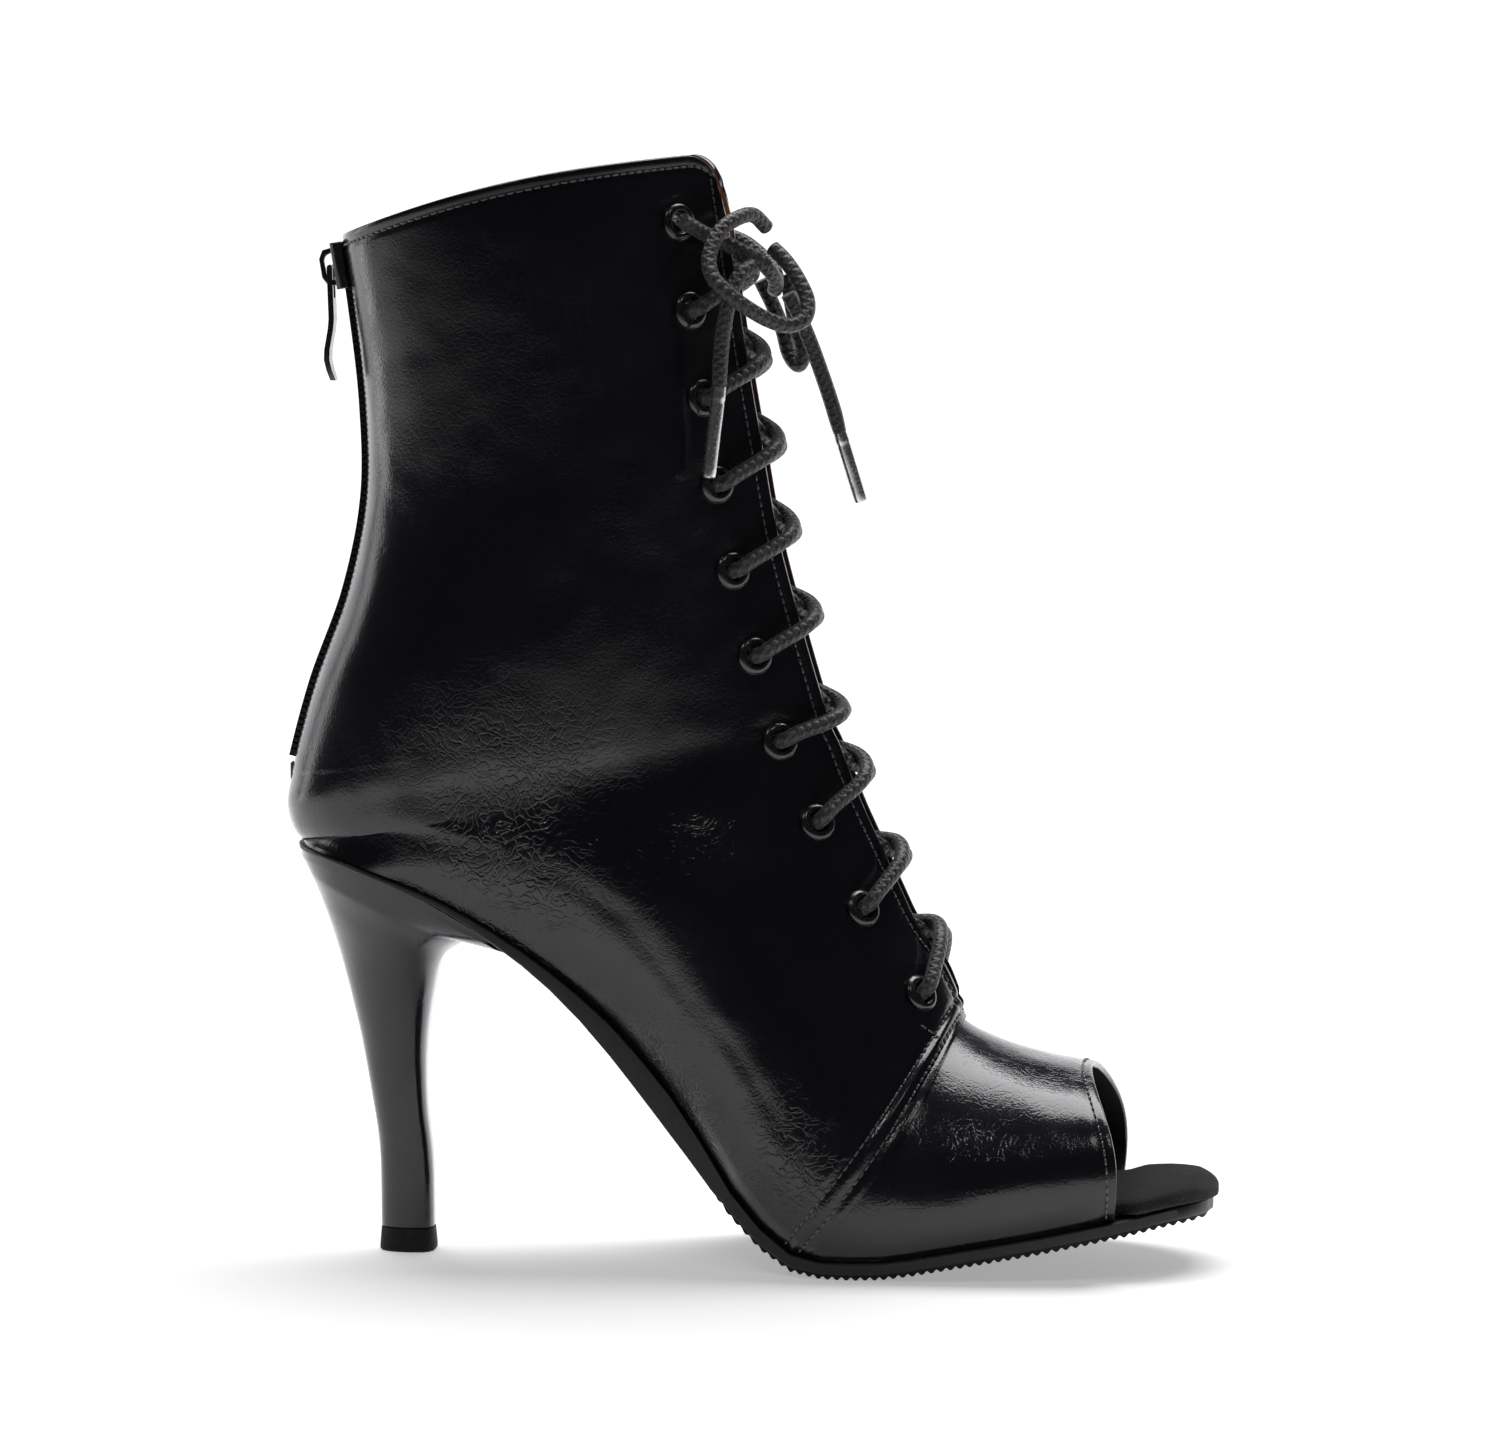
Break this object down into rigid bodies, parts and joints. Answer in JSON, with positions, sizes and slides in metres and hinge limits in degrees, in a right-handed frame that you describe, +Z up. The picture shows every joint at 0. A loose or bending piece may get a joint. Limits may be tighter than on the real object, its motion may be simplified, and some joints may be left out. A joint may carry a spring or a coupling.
{
  "type": "latin dance boot",
  "caption": "Peep-toe latin dance boot on a slim covered heel, laced up the front, with a zip down the back.",
  "frame": {"origin": "on the floor, at the middle of the heel's top piece", "axes": "+X towards the toe, +Y towards the outer side of the left foot, +Z up"},
  "size_m": [0.2194, 0.083, 0.2574],
  "materials": {
    "metal": "polished",
    "enamel": "glossy black enamel",
    "patent": "glossy crinkled patent leather",
    "rubber": "matt black",
    "suede": "black suede",
    "lace": "waxed round braid",
    "sole": "smooth black edge dressing",
    "tape": "woven black tape"
  },
  "bodies": {
    "boot": {"aglet_inner": "metal", "aglet_outer": "metal", "eyelet_inner_01": "enamel", "eyelet_inner_02": "enamel", "eyelet_inner_03": "enamel", "eyelet_inner_04": "enamel", "eyelet_inner_05": "enamel", "eyelet_inner_06": "enamel", "eyelet_inner_07": "enamel", "eyelet_inner_08": "enamel", "eyelet_inner_09": "enamel", "eyelet_inner_10": "enamel", "eyelet_outer_01": "enamel", "eyelet_outer_02": "enamel", "eyelet_outer_03": "enamel", "eyelet_outer_04": "enamel", "eyelet_outer_05": "enamel", "eyelet_outer_06": "enamel", "eyelet_outer_07": "enamel", "eyelet_outer_08": "enamel", "eyelet_outer_09": "enamel", "eyelet_outer_10": "enamel", "heel": "patent", "heel_top_piece": "rubber", "insole": "suede", "lace_cross_1": "lace", "lace_cross_2": "lace", "lace_cross_3": "lace", "lace_cross_4": "lace", "lace_cross_5": "lace", "lace_cross_6": "lace", "lace_cross_7": "lace", "lace_cross_8": "lace", "lace_cross_9": "lace", "lace_end_inner": "lace", "lace_end_outer": "lace", "lace_knot": "lace", "lace_loop_inner": "lace", "lace_loop_outer": "lace", "outsole": "sole", "upper": "patent", "zip_chain": "enamel", "zip_slider": "enamel", "zip_tape": "tape"},
    "pull": {"zip_pull": "enamel"}
  },
  "joints": [
    {"name": "pull_hinge", "type": "hinge", "parent": "boot", "child": "pull", "pos_m": [-0.01739, 0, 0.23184], "axis": [0, 1, 0], "range_deg": [-2, 150]}
  ]
}
